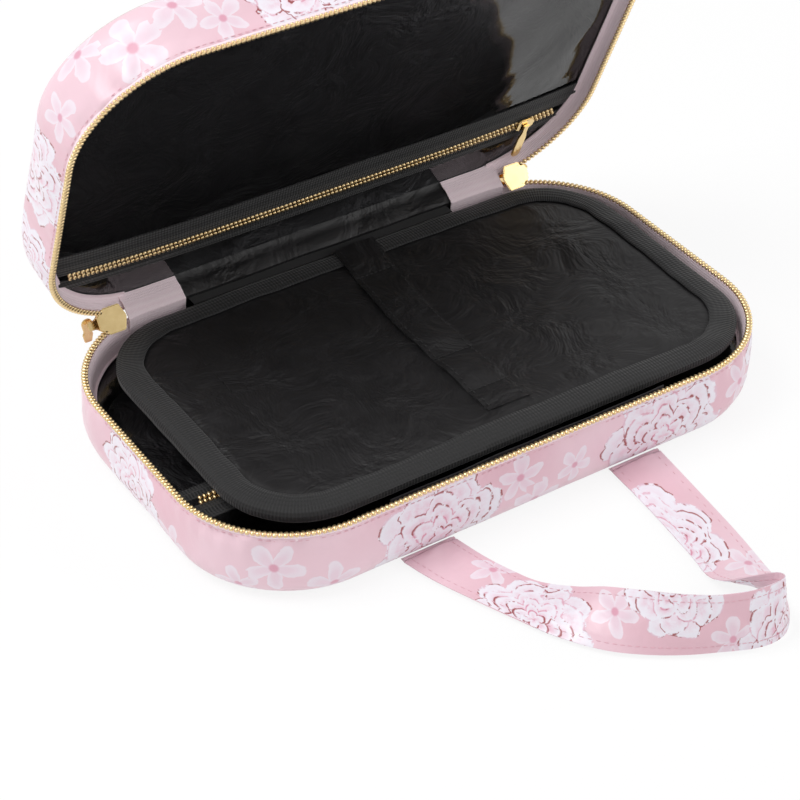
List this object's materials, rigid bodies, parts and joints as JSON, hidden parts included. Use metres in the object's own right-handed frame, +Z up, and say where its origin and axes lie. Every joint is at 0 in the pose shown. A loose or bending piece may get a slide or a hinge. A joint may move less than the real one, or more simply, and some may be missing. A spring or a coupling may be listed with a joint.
{
  "type": "hanging toiletry bag",
  "caption": "Clamshell hanging wash bag: two padded trays on a fabric spine, zipped rim, clear zip pockets, black padded page and carry handle.",
  "frame": {"origin": "centre of the base's underside, on the surface it lies on", "axes": "+X to the right along the spine, +Y to the back (the spine), +Z up out of the base"},
  "size_m": [0.261, 0.2979, 0.19],
  "materials": {
    "printed_satin": "pale pink satin with a loose blossom print",
    "pink_tape": "woven zip tape",
    "gold_zip": "metallised coil",
    "gold_metal": "bright plated",
    "black_satin": "black satin",
    "black_grosgrain": "ribbed black tape",
    "clear_film": "clear flexible film",
    "padding": "foam padding"
  },
  "bodies": {
    "base": {"base_bottom_panel": "printed_satin", "base_side_band": "printed_satin", "base_bottom_board": "padding", "base_wall_foam": "padding", "base_lining": "black_satin", "base_zip_tape": "pink_tape", "base_zip_teeth": "gold_zip", "base_spine_cover": "printed_satin", "base_spine_lining": "black_satin", "base_zip_tail_left": "pink_tape", "base_zip_tail_right": "pink_tape", "base_window_front": "clear_film", "base_window_back": "clear_film", "base_pocket_tape_front": "black_grosgrain", "base_pocket_tape_back": "black_grosgrain", "base_pocket_teeth_front": "gold_zip", "base_pocket_teeth_back": "gold_zip", "front_slip_panel": "black_satin", "page_hinge_band": "black_satin", "handle_anchor_left": "printed_satin", "handle_anchor_right": "printed_satin"},
    "lid": {"lid_top_panel": "printed_satin", "lid_side_band": "printed_satin", "lid_top_board": "padding", "lid_wall_foam": "padding", "lid_lining": "black_satin", "lid_zip_tape": "pink_tape", "lid_zip_teeth": "gold_zip", "lid_spine_cover": "printed_satin", "lid_spine_lining": "black_satin", "lid_zip_tail_left": "pink_tape", "lid_zip_tail_right": "pink_tape", "lid_window_front": "clear_film", "lid_window_back": "clear_film", "lid_pocket_tape_front": "black_grosgrain", "lid_pocket_tape_back": "black_grosgrain", "lid_pocket_teeth_front": "gold_zip", "lid_pocket_teeth_back": "gold_zip"},
    "page": {"page_top_cover": "black_satin", "page_foam": "padding", "page_bottom_cover": "black_satin", "page_binding": "black_grosgrain", "page_strap": "black_satin"},
    "handle": {"handle_strap": "printed_satin"},
    "rim_slider_left": {"main_slider_left": "gold_metal"},
    "rim_slider_right": {"main_slider_right": "gold_metal"},
    "rim_pull_left": {"main_pull_left": "gold_metal"},
    "rim_pull_right": {"main_pull_right": "gold_metal"},
    "base_pocket_slider_body": {"base_pocket_slider": "gold_metal"},
    "base_pocket_pull_body": {"base_pocket_pull": "gold_metal"},
    "lid_pocket_slider_body": {"lid_pocket_slider": "gold_metal"},
    "lid_pocket_pull_body": {"lid_pocket_pull": "gold_metal"}
  },
  "joints": [
    {"name": "lid_hinge", "type": "hinge", "parent": "base", "child": "lid", "pos_m": [0, 0.08, 0.032], "axis": [-1, 0, 0], "range_deg": [-66.6, 111]},
    {"name": "page_hinge", "type": "hinge", "parent": "base", "child": "page", "pos_m": [0, 0.0728, 0.031], "axis": [-1, 0, 0], "range_deg": [0, 60]},
    {"name": "handle_swing", "type": "hinge", "parent": "base", "child": "handle", "pos_m": [0, -0.0819, 0.0014], "axis": [-1, 0, 0], "range_deg": [0, 86]},
    {"name": "rim_slider_left_slide", "type": "slide", "parent": "base", "child": "rim_slider_left", "axis": [-1, 0, 0], "range_m": [0, 0.005]},
    {"name": "rim_slider_right_slide", "type": "slide", "parent": "base", "child": "rim_slider_right", "axis": [1, 0, 0], "range_m": [0, 0.005]},
    {"name": "rim_pull_left_swing", "type": "hinge", "parent": "rim_slider_left", "child": "rim_pull_left", "pos_m": [-0.1085, 0.082, 0.032], "axis": [0, 1, 0], "range_deg": [0, 90]},
    {"name": "rim_pull_right_swing", "type": "hinge", "parent": "rim_slider_right", "child": "rim_pull_right", "pos_m": [0.1085, 0.082, 0.032], "axis": [0, -1, 0], "range_deg": [0, 90]},
    {"name": "base_pocket_slide", "type": "slide", "parent": "base", "child": "base_pocket_slider_body", "axis": [1, 0, 0], "range_m": [0, 0.19]},
    {"name": "base_pocket_pull_swing", "type": "hinge", "parent": "base_pocket_slider_body", "child": "base_pocket_pull_body", "pos_m": [-0.106, -0.027, 0.0222], "axis": [0, 0, 1], "range_deg": [0, 110]},
    {"name": "lid_pocket_slide", "type": "slide", "parent": "lid", "child": "lid_pocket_slider_body", "axis": [-1, 0, 0], "range_m": [0, 0.204]},
    {"name": "lid_pocket_pull_swing", "type": "hinge", "parent": "lid_pocket_slider_body", "child": "lid_pocket_pull_body", "pos_m": [0.102, 0.07222, 0.06132], "axis": [-1, 0, 0], "range_deg": [0, 150]}
  ]
}
